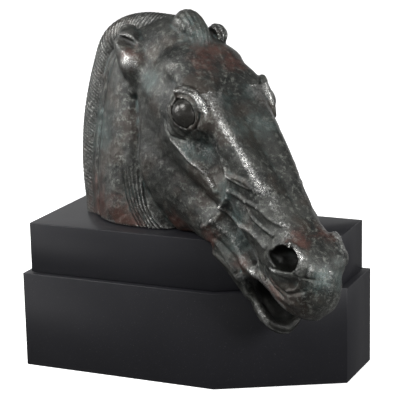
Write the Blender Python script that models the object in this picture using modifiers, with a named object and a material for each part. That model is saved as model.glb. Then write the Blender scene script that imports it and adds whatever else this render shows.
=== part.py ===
"""Horse head sculpture on a two-tier plinth.

Metres, Z up.  The origin is the middle of the plinth's underside.  X runs along the plinth's long
front face, Y runs away from that face.  The head is worked out in shares of its own length: `s` runs
from the poll down the face to the muzzle, `v` from the face line in to the jaw, `u` out to the side.
"""
from math import cos, pi, radians, sin

import bmesh
import bpy
import numpy as np
from mathutils import Matrix, Vector

# Plinth
PLINTH_LENGTH = 0.380
PLINTH_DEPTH = 0.158
LOWER_HEIGHT = 0.1145
UPPER_HEIGHT = 0.060
STEP_INSET = 0.0077
CORNER_CUT_X = 0.1355
CORNER_CUT_Y = 0.074
PIECE_GAP = 0.0003
LOWER_TOP = LOWER_HEIGHT
UPPER_FOOT = LOWER_TOP + PIECE_GAP
PLINTH_TOP = UPPER_FOOT + UPPER_HEIGHT

# Neck: where it stands on the plinth, from the middle of its top
NECK_FROM_MIDDLE = (-0.052, 0.002)
NECK_FOOT = Vector((*NECK_FROM_MIDDLE, PLINTH_TOP + PIECE_GAP))
NECK_YAW = radians(-8)

# Head: its length, how it lies, and the poll's place above the neck's foot in shares of its length
HEAD_LENGTH = 0.382
HEAD_YAW = radians(-30.5)
HEAD_DIP = radians(38)
POLL_REACH = Vector((0.072, 0.0458, 0.6332))
POLL = NECK_FOOT + POLL_REACH * HEAD_LENGTH

# Mesh
HEAD_CELL = 0.0089
HEAD_TRIANGLES = 8600
COLLECTION = "horse_head_on_plinth"
CUTTERS = "cutters"
WELD = 0.0004


def head_axes():
    """Columns are the head's s, v and u directions."""
    along = Vector((cos(HEAD_YAW) * cos(HEAD_DIP), sin(HEAD_YAW) * cos(HEAD_DIP), -sin(HEAD_DIP)))
    side = Vector((-sin(HEAD_YAW), cos(HEAD_YAW), 0.0))
    inward = side.cross(along)
    return np.array([along, inward, side]).T


def to_head(points):
    """World points as s, v and unsigned u shares of the head's length."""
    local = (points - np.array(POLL)) @ head_axes() / HEAD_LENGTH
    return local[:, 0], local[:, 1], local[:, 2]


def to_neck(points):
    """World points in the neck's own upright frame, as shares of the head's length."""
    turn = np.array([[cos(NECK_YAW), sin(NECK_YAW), 0], [-sin(NECK_YAW), cos(NECK_YAW), 0], [0, 0, 1]])
    local = (points - np.array(NECK_FOOT)) @ turn.T / HEAD_LENGTH
    return local[:, 0], local[:, 1], local[:, 2]


# Shape fields: negative inside, lengths in shares of the head
def blend(a, b, soft):
    """Union of two fields with a fillet about `soft` wide."""
    near = np.clip(soft - np.abs(a - b), 0, None) / soft
    return np.minimum(a, b) - near * near * soft / 4


def carve(a, b, soft):
    """Field a less field b, with an edge rounded about `soft` wide."""
    return -blend(-a, b, soft)


def ellipsoid(p, centre, radii, tilt=0.0, splay=0.0):
    """tilt turns it in profile (s towards v), splay swings its front outwards; both in degrees."""
    s, v, u = (x - c for x, c in zip(p, centre))
    a, b = radians(splay), radians(tilt)
    s, u = s * cos(a) + u * sin(a), u * cos(a) - s * sin(a)
    s, v = s * cos(b) + v * sin(b), v * cos(b) - s * sin(b)
    k0 = np.sqrt((s / radii[0]) ** 2 + (v / radii[1]) ** 2 + (u / radii[2]) ** 2)
    k1 = np.sqrt((s / radii[0] ** 2) ** 2 + (v / radii[1] ** 2) ** 2 + (u / radii[2] ** 2) ** 2)
    return k0 * (k0 - 1) / np.maximum(k1, 1e-6)


def rod(p, path, radii):
    """A tapering round rod through the points of `path`."""
    path = np.asarray(path, float)
    radii = np.broadcast_to(np.asarray(radii, float), len(path))
    nearest = np.full(np.shape(p[0]), 1e3)
    for a, b, ra, rb in zip(path, path[1:], radii, radii[1:]):
        step = b - a
        off = [x - y for x, y in zip(p, a)]
        t = np.clip(sum(o * d for o, d in zip(off, step)) / (step @ step), 0, 1)
        dist = np.sqrt(sum((o - t * d) ** 2 for o, d in zip(off, step)))
        nearest = np.minimum(nearest, dist - ra - t * (rb - ra))
    return nearest


def curve(stations, count=12):
    """Smooth points through a few stations."""
    stations = np.asarray(stations, float)
    t = np.linspace(0, len(stations) - 1, count)
    return np.stack([smooth_line(t, np.arange(len(stations)), col) for col in stations.T], 1)


def smooth_line(x, xs, ys):
    """Hermite curve through (xs, ys)."""
    xs, ys = np.asarray(xs, float), np.asarray(ys, float)
    slope = np.gradient(ys, xs)
    x = np.clip(x, xs[0], xs[-1])
    i = np.clip(np.searchsorted(xs, x) - 1, 0, len(xs) - 2)
    h = xs[i + 1] - xs[i]
    t = (x - xs[i]) / h
    return ((2 * t ** 3 - 3 * t ** 2 + 1) * ys[i] + (t ** 3 - 2 * t ** 2 + t) * h * slope[i]
            + (3 * t ** 2 - 2 * t ** 3) * ys[i + 1] + (t ** 3 - t ** 2) * h * slope[i + 1])


def local(p, origin, normal, along):
    """Points in a small frame on the surface: x `along` it, y across it, z out of it."""
    normal = Vector(normal).normalized()
    x = Vector(along)
    x = (x - normal * x.dot(normal)).normalized()
    y = normal.cross(x)
    off = [a - b for a, b in zip(p, origin)]
    return [sum(o * k for o, k in zip(off, axis)) for axis in (x, y, normal)]


# Masses of the head: (centre, radii) of balls, (points, radii) of rods
CRANIUM = (0.10, 0.165, 0), (0.185, 0.175, 0.130)
FOREHEAD = (0.25, 0.150, 0), (0.220, 0.165, 0.145)
JAW_PLATE = (0.318, 0.296, 0.082), (0.215, 0.212, 0.082)
MUZZLE = (0.900, 0.160, 0), (0.112, 0.106, 0.086)
CHIN = (0.850, 0.374, 0), (0.096, 0.036, 0.056)
NOSE = [(0.38, 0.140, 0), (0.62, 0.145, 0), (0.84, 0.155, 0)], [0.128, 0.102, 0.088]
JAW_BAR = [(0.32, 0.330, 0.055), (0.58, 0.290, 0.052), (0.80, 0.325, 0.040)], [0.120, 0.080, 0.050]
EAR = ([(0.112, 0.170, 0.108), (0.050, 0.144, 0.126), (-0.012, 0.130, 0.122), (-0.056, 0.122, 0.108)],
       [0.038, 0.052, 0.046, 0.026])


def skull(p):
    d = blend(ellipsoid(p, *CRANIUM), ellipsoid(p, *FOREHEAD), 0.06)
    bridge = rod(p, [(0.20, 0.060, 0.070), (0.42, 0.058, 0.062), (0.60, 0.068, 0.046), (0.80, 0.094, 0.030)],
                 [0.074, 0.056, 0.044, 0.036])
    edge = rod(p, [(0.34, 0.032, 0.074), (0.44, 0.026, 0.076), (0.58, 0.040, 0.062), (0.72, 0.070, 0.046)],
               [0.020, 0.022, 0.020, 0.012])
    d = blend(d, rod(p, *NOSE), 0.05)
    d = blend(d, bridge, 0.04)
    return blend(d, edge, 0.025)


def orbit(p):
    """The bony rim that stands out round the eye, and the arch behind it."""
    d = ellipsoid(p, (0.322, 0.058, 0.096), (0.086, 0.064, 0.052), 14, -8)
    arch = rod(p, [(0.10, 0.150, 0.108), (0.22, 0.130, 0.120), (0.32, 0.125, 0.116)], [0.028, 0.028, 0.034])
    return blend(d, arch, 0.04)


def crest(p):
    """Cheekbone ridge that runs forward from below the eye."""
    return rod(p, [(0.34, 0.160, 0.126), (0.44, 0.176, 0.124), (0.58, 0.180, 0.100)], [0.036, 0.024, 0.012])


def jaw(p):
    return blend(ellipsoid(p, *JAW_PLATE, 10, -5), rod(p, *JAW_BAR), 0.04)


def muzzle(p):
    d = ellipsoid(p, *MUZZLE)
    lip = ellipsoid(p, (0.952, 0.190, 0), (0.072, 0.078, 0.076), 10)
    flare = ellipsoid(p, (0.876, 0.108, 0.050), (0.078, 0.050, 0.044), -16, 8)
    side = ellipsoid(p, (0.840, 0.205, 0.026), (0.105, 0.068, 0.050), 14)
    edge = rod(p, curve([(0.760, 0.270, 0.068), (0.860, 0.248, 0.068), (0.945, 0.240, 0.054), (1.000, 0.226, 0)]),
               np.linspace(0.009, 0.017, 12))
    d = blend(d, lip, 0.030)
    d = blend(d, side, 0.030)
    d = blend(d, flare, 0.025)
    return blend(d, edge, 0.012)


def chin(p):
    """Lower lip with a rolled edge, and the rounded chin below it."""
    d = ellipsoid(p, *CHIN, 7)
    edge = rod(p, curve([(0.770, 0.338, 0.054), (0.850, 0.346, 0.062), (0.915, 0.360, 0.048), (0.942, 0.368, 0)]),
               np.linspace(0.009, 0.017, 12))
    return blend(d, edge, 0.016)


MOUTH = (0.985, 0.309, 0)
MOUTH_SIZE = (0.242, 0.054, 0.140)
MOUTH_TILT = 1


def mouth_gap(p):
    """Opening between the lips, a lens that narrows to the corners."""
    return ellipsoid(p, MOUTH, MOUTH_SIZE, MOUTH_TILT)


EYE = (0.338, 0.063, 0.125)
EYE_FACING = (0.24, -0.38, 0.89)
EYE_RADIUS = 0.051
LID_THICKNESS = 0.007


def eye(p):
    """Ball under two lids: the lids are a thicker shell with an almond opening."""
    x, y, z = local(p, EYE, EYE_FACING, (0.97, 0.22, 0))
    ball = np.sqrt(x * x + y * y + z * z) - EYE_RADIUS
    reach, rise = 0.054, 0.037
    sag = (reach ** 2 - rise ** 2) / (2 * rise)
    side = [np.sqrt(x * x + (y - k) ** 2) - rise - sag for k in (sag, -sag)]
    opening = np.maximum(np.maximum(*side), -z)
    lids = carve(ball - LID_THICKNESS, opening, 0.003)
    turns = np.radians(range(190, 346, 12))
    fold = rod((x, y, z), [(0.068 * cos(t), 0.060 * sin(t), 0.026) for t in turns], 0.013)
    pouch = rod((x, y, z), [(0.070 * cos(t), -0.060 * sin(t), 0.014) for t in turns[3:-2]], 0.005)
    duct = rod((x, y, z), [(0.050, 0.002, 0.026), (0.072, 0.010, 0.010)], [0.010, 0.007])
    return ball, lids, blend(blend(fold, pouch, 0.004), duct, 0.010)


def nostril(p):
    """Comma-shaped hollow and the raised rim round it."""
    q = local(p, (0.866, 0.103, 0.092), (0.22, -0.34, 0.92), (0.84, -0.54, 0))
    turns = np.radians(np.linspace(-80, 210, 15))
    size = np.linspace(0.85, 1.15, 15)
    rim = rod(q, [(0.064 * k * cos(t), 0.044 * k * sin(t), 0.004) for t, k in zip(turns, size)], 0.0095)
    hollow = ellipsoid(q, (0.006, 0.002, 0), (0.053, 0.034, 0.062), 0)
    tail = ellipsoid(q, (-0.036, 0.014, 0), (0.030, 0.018, 0.040), 24)
    return rim, blend(hollow, tail, 0.01)


def ear(p):
    """Short ear laid back against the neck, with a slit along its upper side."""
    body = rod(p, *EAR)
    slit = ellipsoid(p, (0.008, 0.100, 0.166), (0.064, 0.014, 0.036), -18, -14)
    return carve(body, slit, 0.010)


def forelock(p):
    """Short rounded tuft of hair between the ears, with a lock on the far side."""
    s, v, u = p
    d = ellipsoid(p, (0.066, -0.006, 0), (0.058, 0.048, 0.046), -14)
    d = blend(d, ellipsoid(p, (0.122, -0.016, 0.006), (0.040, 0.024, 0.030), 16), 0.030)
    d = blend(d, ellipsoid(p, (0.100, 0.008, 0.092), (0.038, 0.032, 0.026), -20), 0.016)
    return d - 0.0012 * np.cos(2 * pi * (u / 0.013 + 2.2 * s))


NECK_Z = [-0.05, 0.0, 0.15, 0.30, 0.45, 0.54, 0.59]
NECK_REAR = [-0.218, -0.218, -0.236, -0.234, -0.208, -0.170, -0.120]
NECK_FRONT = [0.19, 0.19, 0.18, 0.17, 0.16, 0.16, 0.15]
NECK_HALF = [0.134, 0.134, 0.120, 0.100, 0.088, 0.080, 0.070]
NECK_SIDE = [0.0, 0.0, 0.010, 0.025, 0.045, 0.055, 0.060]
NECK_SQUARE = [3.0, 3.0, 2.8, 2.5, 2.3, 2.2, 2.2]
NECK_CREST = 0.42


def neck(q):
    """Level sections, narrow at the crest: rear edge, front edge, half width, sideways shift."""
    a, w, z = q
    rear, front, half, side, power = (smooth_line(z, NECK_Z, t) for t in
                                      (NECK_REAR, NECK_FRONT, NECK_HALF, NECK_SIDE, NECK_SQUARE))
    mid, reach = (rear + front) / 2, (front - rear) / 2
    forward = np.clip((a - rear) / reach, 0, 1)
    wide = half * (NECK_CREST + (1 - NECK_CREST) * forward * (2 - forward))
    k = (np.abs((a - mid) / reach) ** power + np.abs((w - side) / wide) ** power) ** (1 / power)
    round_side = (k - 1) * np.minimum(reach, wide)
    top = z - NECK_Z[-1]
    return -blend(-round_side, -top, 0.12)


MANE_DEPTH = 0.046
MANE_HALF = 0.040


def mane_line(count):
    """Middle of the clipped mane: up the rear of the neck and over to the poll."""
    stations = [(r + 0.016, w, z) for r, w, z in zip(NECK_REAR, NECK_SIDE, NECK_Z)][:-1]
    stations += [(-0.06, 0.060, 0.578), (0.09, 0.062, 0.572)]
    return curve(stations, count)


def mane(q):
    """An oval band, deeper than it is wide."""
    flat = MANE_DEPTH / MANE_HALF
    return rod((q[0], q[1] * flat, q[2]), mane_line(24) * (1, flat, 1), MANE_DEPTH) / flat


def stroke(s, v, path, width):
    """1 on a line drawn on the side of the head, falling to 0 about `width` away from it."""
    flat = [(a, b, 0) for a, b in path]
    return np.exp(-(rod((s, v, 0 * s), curve(flat, 4 * len(flat)), 0) / width) ** 2)


def head_relief(p):
    """Veins, folds and hollows of the side of the head, as heights above the plain form."""
    s, v, u = p
    side = np.clip((u - 0.03) / 0.04, 0, 1)
    veins = [
        (0.0050, 0.009, [(0.600, 0.195), (0.598, 0.150), (0.570, 0.105), (0.520, 0.080)]),
        (0.0045, 0.007, [(0.590, 0.130), (0.650, 0.110), (0.700, 0.085)]),
        (0.0045, 0.007, [(0.560, 0.100), (0.610, 0.070), (0.660, 0.058)]),
        (0.0060, 0.009, [(0.600, 0.195), (0.660, 0.190), (0.730, 0.160), (0.790, 0.150)]),
        (0.0045, 0.007, [(0.690, 0.180), (0.740, 0.200), (0.790, 0.205)]),
        (0.0035, 0.009, [(0.590, 0.290), (0.605, 0.250), (0.600, 0.200)]),
        (0.0040, 0.007, [(0.700, 0.085), (0.760, 0.075), (0.800, 0.055)]),
    ]
    folds = [
        (0.0070, 0.012, [(0.600, 0.245), (0.680, 0.245), (0.750, 0.268), (0.800, 0.262)]),
        (0.0060, 0.010, [(0.660, 0.330), (0.720, 0.315), (0.770, 0.318)]),
        (-0.0070, 0.010, [(0.640, 0.215), (0.710, 0.222), (0.770, 0.238)]),
        (-0.0060, 0.009, [(0.640, 0.280), (0.710, 0.282), (0.760, 0.296)]),
        (-0.0050, 0.008, [(0.820, 0.200), (0.880, 0.208), (0.935, 0.185), (0.965, 0.140)]),
        (-0.0045, 0.007, [(0.950, 0.060), (0.985, 0.110), (0.995, 0.170), (0.985, 0.215)]),
        (0.0050, 0.010, [(0.790, 0.235), (0.860, 0.240), (0.930, 0.222), (0.975, 0.190)]),
        (0.0040, 0.008, [(0.376, 0.104), (0.430, 0.140), (0.500, 0.160), (0.560, 0.168)]),
    ]
    hollows = [
        (-0.0120, 0.036, [(0.450, 0.095), (0.520, 0.115)]),
        (-0.0100, 0.030, [(0.190, 0.060), (0.250, 0.045)]),
        (-0.0060, 0.030, [(0.640, 0.120), (0.760, 0.130)]),
    ]
    return side * sum(height * stroke(s, v, path, width) for height, width, path in veins + folds + hollows)


THROAT_GROOVE = [(0.134, 0.216), (0.207, 0.269), (0.285, 0.338), (0.353, 0.377), (0.489, 0.422)]


def throat(s, v, u):
    """Deep groove behind the jaw, on the side towards which the neck bends."""
    return 0.017 * stroke(s, v, THROAT_GROOVE, 0.016) * np.clip((-0.03 - u) / 0.04, 0, 1)


MANE_BORDER = 0.066


def neck_relief(q):
    """Groove along the mane's border, and the muscle of the neck's side."""
    a, w, z = q
    behind = a - smooth_line(z, NECK_Z, NECK_REAR)
    fade = np.clip((0.56 - z) / 0.08, 0, 1)
    border = -0.006 * fade * np.exp(-((behind - MANE_BORDER) / 0.008) ** 2)
    muscle = 0.010 * stroke(a, z, [(-0.120, 0.46), (-0.090, 0.34), (-0.070, 0.22), (-0.080, 0.06)], 0.050)
    return border + muscle


def head_field(points):
    s, v, u = to_head(points)
    p = (s, v, np.sqrt(u * u + 0.008 ** 2))
    q = to_neck(points)
    d = blend(skull(p), jaw(p), 0.05)
    d = blend(d, orbit(p), 0.04)
    d = blend(d, crest(p), 0.03)
    d = blend(d, muzzle(p), 0.04)
    d = carve(d, mouth_gap(p), 0.012)
    d = blend(d, chin(p), 0.012)
    d = blend(d, neck(q), 0.05)
    d = blend(d, mane(q), 0.006)
    d = blend(d, forelock((s, v, u)), 0.012)
    d = d - head_relief(p) - neck_relief(q) + throat(s, v, u)
    d = blend(d, ear(p), 0.012)
    rim, hollow = nostril(p)
    d = carve(blend(d, rim, 0.020), hollow, 0.006)
    ball, lids, folds = eye(p)
    d = blend(blend(d, lids, 0.020), folds, 0.012)
    return np.minimum(d, ball)


def unit_ball(bm, centre, radii, matrix):
    bmesh.ops.create_icosphere(bm, subdivisions=3, radius=1.0,
                               matrix=matrix @ Matrix.Translation(centre) @ Matrix.Diagonal((*radii, 1)))


def head_matrix():
    m = Matrix(head_axes().tolist()).to_4x4()
    return Matrix.Translation(POLL) @ m @ Matrix.Scale(HEAD_LENGTH, 4)


def object_from(bm, name, collection=None):
    mesh = bpy.data.meshes.new(name)
    bm.to_mesh(mesh)
    bm.free()
    obj = bpy.data.objects.new(name, mesh)
    bpy.data.collections[collection or COLLECTION].objects.link(obj)
    return obj


def bake(obj):
    """Replace the object's mesh by what its modifiers make."""
    graph = bpy.context.evaluated_depsgraph_get()
    mesh = bpy.data.meshes.new_from_object(obj.evaluated_get(graph))
    old = obj.data
    obj.modifiers.clear()
    obj.data = mesh
    bpy.data.meshes.remove(old)


def remesh(obj, cell):
    mod = obj.modifiers.new("skin", "REMESH")
    mod.mode = "VOXEL"
    mod.voxel_size = cell
    mod.use_smooth_shade = True
    bake(obj)


def settle(obj, field, passes):
    """Move every vertex along its normal until it lies on the field's surface."""
    mesh = obj.data
    count = len(mesh.vertices)
    co = np.empty(count * 3)
    no = np.empty(count * 3)
    for _ in range(passes):
        mesh.vertices.foreach_get("co", co)
        mesh.update()
        mesh.vertex_normals.foreach_get("vector", no)
        points, normals = co.reshape(-1, 3), no.reshape(-1, 3)
        step = np.clip(field(points) * HEAD_LENGTH, -0.004, 0.004)
        points = points - normals * step[:, None]
        mesh.vertices.foreach_set("co", points.ravel())
        mesh.update()


def smooth(obj, factor, times):
    mod = obj.modifiers.new("smooth", "SMOOTH")
    mod.factor = factor
    mod.iterations = times
    bake(obj)


def clay_balls(bm):
    """Plain balls that fill the head roughly; the field then gives them their form."""
    m = head_matrix()
    for side in (-1, 1):
        flip = m @ Matrix.Diagonal((1, 1, side, 1))
        for centre, radii in (CRANIUM, FOREHEAD, JAW_PLATE, MUZZLE, CHIN):
            unit_ball(bm, centre, radii, flip)
        for points, radii in (NOSE, JAW_BAR, EAR):
            reach = np.linspace(radii[0], radii[-1], 12)
            for centre, radius in zip(curve(points), reach):
                unit_ball(bm, centre, [radius] * 3, flip)
    n = Matrix.Translation(NECK_FOOT) @ Matrix.Rotation(NECK_YAW, 4, "Z") @ Matrix.Scale(HEAD_LENGTH, 4)
    for z in np.linspace(NECK_Z[0], NECK_Z[-1], 18)[1:-1]:
        rear, front, half, side = (float(smooth_line(z, NECK_Z, t))
                                   for t in (NECK_REAR, NECK_FRONT, NECK_HALF, NECK_SIDE))
        unit_ball(bm, ((rear + front) / 2, side, z), ((front - rear) / 2, half, 0.06), n)


def mouth_cutter():
    bm = bmesh.new()
    turn = Matrix.Translation(MOUTH) @ Matrix.Rotation(radians(MOUTH_TILT), 4, "Z")
    unit_ball(bm, (0, 0, 0), MOUTH_SIZE, head_matrix() @ turn)
    return hide(object_from(bm, "mouth_cutter", CUTTERS))


def keep_largest(obj):
    """Drop loose crumbs and keep the biggest closed piece."""
    bm = bmesh.new()
    bm.from_mesh(obj.data)
    left = set(bm.verts)
    pieces = []
    while left:
        piece, front = set(), [left.pop()]
        while front:
            vert = front.pop()
            piece.add(vert)
            near = {edge.other_vert(vert) for edge in vert.link_edges} & left
            left -= near
            front += near
        pieces.append(piece)
    pieces.sort(key=len)
    bmesh.ops.delete(bm, geom=[v for piece in pieces[:-1] for v in piece], context="VERTS")
    bm.to_mesh(obj.data)
    bm.free()


def build_head(cell):
    bm = bmesh.new()
    clay_balls(bm)
    obj = object_from(bm, "horse_head")
    remesh(obj, cell)
    cut(obj, mouth_cutter())
    for _ in range(3):
        remesh(obj, cell)
        settle(obj, head_field, 4)
        smooth(obj, 0.5, 1)
    remesh(obj, cell)
    cut(obj, plinth_cutter())
    keep_largest(obj)
    thin_out(obj, HEAD_TRIANGLES)
    return obj


def cut(obj, cutter):
    mod = obj.modifiers.new("cut", "BOOLEAN")
    mod.operation = "DIFFERENCE"
    mod.solver = "EXACT"
    mod.object = cutter
    bake(obj)


def thin_out(obj, triangles):
    bm = bmesh.new()
    bm.from_mesh(obj.data)
    bmesh.ops.remove_doubles(bm, verts=bm.verts, dist=WELD)
    bmesh.ops.triangulate(bm, faces=bm.faces)
    count = len(bm.faces)
    bm.to_mesh(obj.data)
    bm.free()
    mod = obj.modifiers.new("thin_out", "DECIMATE")
    mod.ratio = min(1.0, triangles / count)
    mod.use_collapse_triangulate = True
    bake(obj)
    obj.data.shade_smooth()
    obj.data.set_sharp_from_angle(angle=radians(50))


def plinth_cutter():
    """The lower tier's plan up to the upper tier's top, larger by a piece gap: it clears the ledge too."""
    plan = outline(-PIECE_GAP)
    return hide(stack("plinth_cutter", [(plan, -0.05), (plan, PLINTH_TOP + PIECE_GAP)], CUTTERS))


def hide(obj):
    obj.hide_render = True
    obj.display_type = "WIRE"
    return obj


def stack(name, levels, collection=None):
    """Closed block through plans of equal corner count at rising heights."""
    bm = bmesh.new()
    rings = [[bm.verts.new((x, y, z)) for x, y in plan] for plan, z in levels]
    for low, high in zip(rings, rings[1:]):
        for i in range(len(low)):
            j = (i + 1) % len(low)
            bm.faces.new((low[i], low[j], high[j], high[i]))
    bm.faces.new(rings[0])
    bm.faces.new(rings[-1])
    bmesh.ops.recalc_face_normals(bm, faces=bm.faces)
    return object_from(bm, name, collection)


def outline(inset):
    """Plinth plan: a rectangle whose near right corner is cut off, all sides moved in by `inset`."""
    x, y = PLINTH_LENGTH / 2 - inset, PLINTH_DEPTH / 2 - inset
    run = Vector((CORNER_CUT_X, CORNER_CUT_Y)).normalized()
    start = Vector((PLINTH_LENGTH / 2 - CORNER_CUT_X, -PLINTH_DEPTH / 2)) + Vector((-run.y, run.x)) * inset
    cut_y = start + run * ((-y - start.y) / run.y)
    cut_x = start + run * ((x - start.x) / run.x)
    return [(-x, -y), tuple(cut_y), tuple(cut_x), (x, y), (-x, y)]


def finish_of(name, colour, roughness, metallic):
    mat = bpy.data.materials.new(name)
    mat.use_nodes = True
    shader = mat.node_tree.nodes["Principled BSDF"]
    shader.inputs["Base Color"].default_value = (*colour, 1)
    shader.inputs["Roughness"].default_value = roughness
    shader.inputs["Metallic"].default_value = metallic
    return mat


def main():
    for obj in list(bpy.data.objects):
        bpy.data.objects.remove(obj)
    for name in (COLLECTION, CUTTERS):
        bpy.context.scene.collection.children.link(bpy.data.collections.new(name))
    lower = stack("plinth_lower", [(outline(0), 0), (outline(0), LOWER_TOP)])
    upper = stack("plinth_upper", [(outline(STEP_INSET), UPPER_FOOT), (outline(STEP_INSET), PLINTH_TOP)])
    head = build_head(HEAD_CELL * HEAD_LENGTH)
    lower.data.materials.append(finish_of("satin_black_lower", (0.012, 0.012, 0.014), 0.40, 0.0))
    upper.data.materials.append(finish_of("satin_black_upper", (0.012, 0.012, 0.014), 0.40, 0.0))
    head.data.materials.append(finish_of("bronze_patina", (0.045, 0.043, 0.038), 0.42, 0.6))


main()
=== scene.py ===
"""Horse head sculpture on a two-tier plinth: the finish of every surface.

Metres, Z up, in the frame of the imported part.  The head is worked out in shares of its own length:
`s` runs from the poll down the face to the muzzle, `v` from the face line in to the jaw, `u` out to
the side.
"""
from math import cos, pi, radians, sin

import bmesh
import bpy
import numpy as np
from mathutils import Matrix, Vector


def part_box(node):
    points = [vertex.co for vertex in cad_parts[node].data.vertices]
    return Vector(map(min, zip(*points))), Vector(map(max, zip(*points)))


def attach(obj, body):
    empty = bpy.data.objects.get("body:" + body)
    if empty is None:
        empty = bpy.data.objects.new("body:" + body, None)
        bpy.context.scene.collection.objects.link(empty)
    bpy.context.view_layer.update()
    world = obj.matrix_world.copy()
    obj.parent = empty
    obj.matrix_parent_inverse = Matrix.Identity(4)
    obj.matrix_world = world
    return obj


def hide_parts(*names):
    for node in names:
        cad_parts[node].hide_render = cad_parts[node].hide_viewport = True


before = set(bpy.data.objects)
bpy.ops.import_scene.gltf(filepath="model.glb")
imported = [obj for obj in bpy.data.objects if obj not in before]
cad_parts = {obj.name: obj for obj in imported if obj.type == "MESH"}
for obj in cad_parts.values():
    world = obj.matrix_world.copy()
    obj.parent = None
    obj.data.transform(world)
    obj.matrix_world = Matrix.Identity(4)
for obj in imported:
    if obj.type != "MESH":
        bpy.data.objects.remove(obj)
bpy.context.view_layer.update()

# Plinth, from the frame
lower_from, lower_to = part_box("plinth_lower")
upper_from, upper_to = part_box("plinth_upper")
PLINTH_LENGTH = lower_to.x - lower_from.x
PLINTH_DEPTH = lower_to.y - lower_from.y
LOWER_TOP = lower_to.z
UPPER_FOOT = upper_from.z
PLINTH_TOP = upper_to.z
STEP_INSET = lower_to.x - upper_to.x
CORNER_CUT_X = 0.1355
CORNER_CUT_Y = 0.074
PIECE_GAP = 0.0003
EDGE_BEVEL = 0.0008

# Neck: where it stands on the plinth, from the middle of its top
NECK_FROM_MIDDLE = (-0.052, 0.002)
NECK_FOOT = Vector((*NECK_FROM_MIDDLE, PLINTH_TOP + PIECE_GAP))
NECK_YAW = radians(-8)

# Head: its length, how it lies, and the poll's place above the neck's foot in shares of its length
HEAD_LENGTH = 0.382
HEAD_YAW = radians(-30.5)
HEAD_DIP = radians(38)
POLL_REACH = Vector((0.072, 0.0458, 0.6332))
POLL = NECK_FOOT + POLL_REACH * HEAD_LENGTH

# Mesh: cells in metres, coarse to fine
ROUGH_CELL = 0.0045
SKIN_CELLS = (0.0034, 0.0024, 0.0017)
SKIN_TRIANGLES = 197000
WELD = 0.0001
COLLECTION = "dressed_horse_head"
CUTTERS = COLLECTION


def head_axes():
    """Columns are the head's s, v and u directions."""
    along = Vector((cos(HEAD_YAW) * cos(HEAD_DIP), sin(HEAD_YAW) * cos(HEAD_DIP), -sin(HEAD_DIP)))
    side = Vector((-sin(HEAD_YAW), cos(HEAD_YAW), 0.0))
    inward = side.cross(along)
    return np.array([along, inward, side]).T


def to_head(points):
    """World points as s, v and signed u shares of the head's length."""
    local = (points - np.array(POLL)) @ head_axes() / HEAD_LENGTH
    return local[:, 0], local[:, 1], local[:, 2]


def to_neck(points):
    """World points in the neck's own upright frame, as shares of the head's length."""
    turn = np.array([[cos(NECK_YAW), sin(NECK_YAW), 0], [-sin(NECK_YAW), cos(NECK_YAW), 0], [0, 0, 1]])
    local = (points - np.array(NECK_FOOT)) @ turn.T / HEAD_LENGTH
    return local[:, 0], local[:, 1], local[:, 2]


# Shape fields: negative inside, lengths in shares of the head
def blend(a, b, soft):
    """Union of two fields with a fillet about `soft` wide."""
    near = np.clip(soft - np.abs(a - b), 0, None) / soft
    return np.minimum(a, b) - near * near * soft / 4


def carve(a, b, soft):
    """Field a less field b, with an edge rounded about `soft` wide."""
    return -blend(-a, b, soft)


def ellipsoid(p, centre, radii, tilt=0.0, splay=0.0):
    """tilt turns it in profile (s towards v), splay swings its front outwards; both in degrees."""
    s, v, u = (x - c for x, c in zip(p, centre))
    a, b = radians(splay), radians(tilt)
    s, u = s * cos(a) + u * sin(a), u * cos(a) - s * sin(a)
    s, v = s * cos(b) + v * sin(b), v * cos(b) - s * sin(b)
    k0 = np.sqrt((s / radii[0]) ** 2 + (v / radii[1]) ** 2 + (u / radii[2]) ** 2)
    k1 = np.sqrt((s / radii[0] ** 2) ** 2 + (v / radii[1] ** 2) ** 2 + (u / radii[2] ** 2) ** 2)
    return k0 * (k0 - 1) / np.maximum(k1, 1e-6)


def rod(p, path, radii):
    """A tapering round rod through the points of `path`."""
    path = np.asarray(path, float)
    radii = np.broadcast_to(np.asarray(radii, float), len(path))
    nearest = np.full(np.shape(p[0]), 1e3)
    for a, b, ra, rb in zip(path, path[1:], radii, radii[1:]):
        step = b - a
        off = [x - y for x, y in zip(p, a)]
        t = np.clip(sum(o * d for o, d in zip(off, step)) / (step @ step), 0, 1)
        dist = np.sqrt(sum((o - t * d) ** 2 for o, d in zip(off, step)))
        nearest = np.minimum(nearest, dist - ra - t * (rb - ra))
    return nearest


def curve(stations, count=12):
    """Smooth points through a few stations."""
    stations = np.asarray(stations, float)
    t = np.linspace(0, len(stations) - 1, count)
    return np.stack([smooth_line(t, np.arange(len(stations)), col) for col in stations.T], 1)


def smooth_line(x, xs, ys):
    """Hermite curve through (xs, ys)."""
    xs, ys = np.asarray(xs, float), np.asarray(ys, float)
    slope = np.gradient(ys, xs)
    x = np.clip(x, xs[0], xs[-1])
    i = np.clip(np.searchsorted(xs, x) - 1, 0, len(xs) - 2)
    h = xs[i + 1] - xs[i]
    t = (x - xs[i]) / h
    return ((2 * t ** 3 - 3 * t ** 2 + 1) * ys[i] + (t ** 3 - 2 * t ** 2 + t) * h * slope[i]
            + (3 * t ** 2 - 2 * t ** 3) * ys[i + 1] + (t ** 3 - t ** 2) * h * slope[i + 1])


def local(p, origin, normal, along):
    """Points in a small frame on the surface: x `along` it, y across it, z out of it."""
    normal = Vector(normal).normalized()
    x = Vector(along)
    x = (x - normal * x.dot(normal)).normalized()
    y = normal.cross(x)
    off = [a - b for a, b in zip(p, origin)]
    return [sum(o * k for o, k in zip(off, axis)) for axis in (x, y, normal)]


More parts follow.
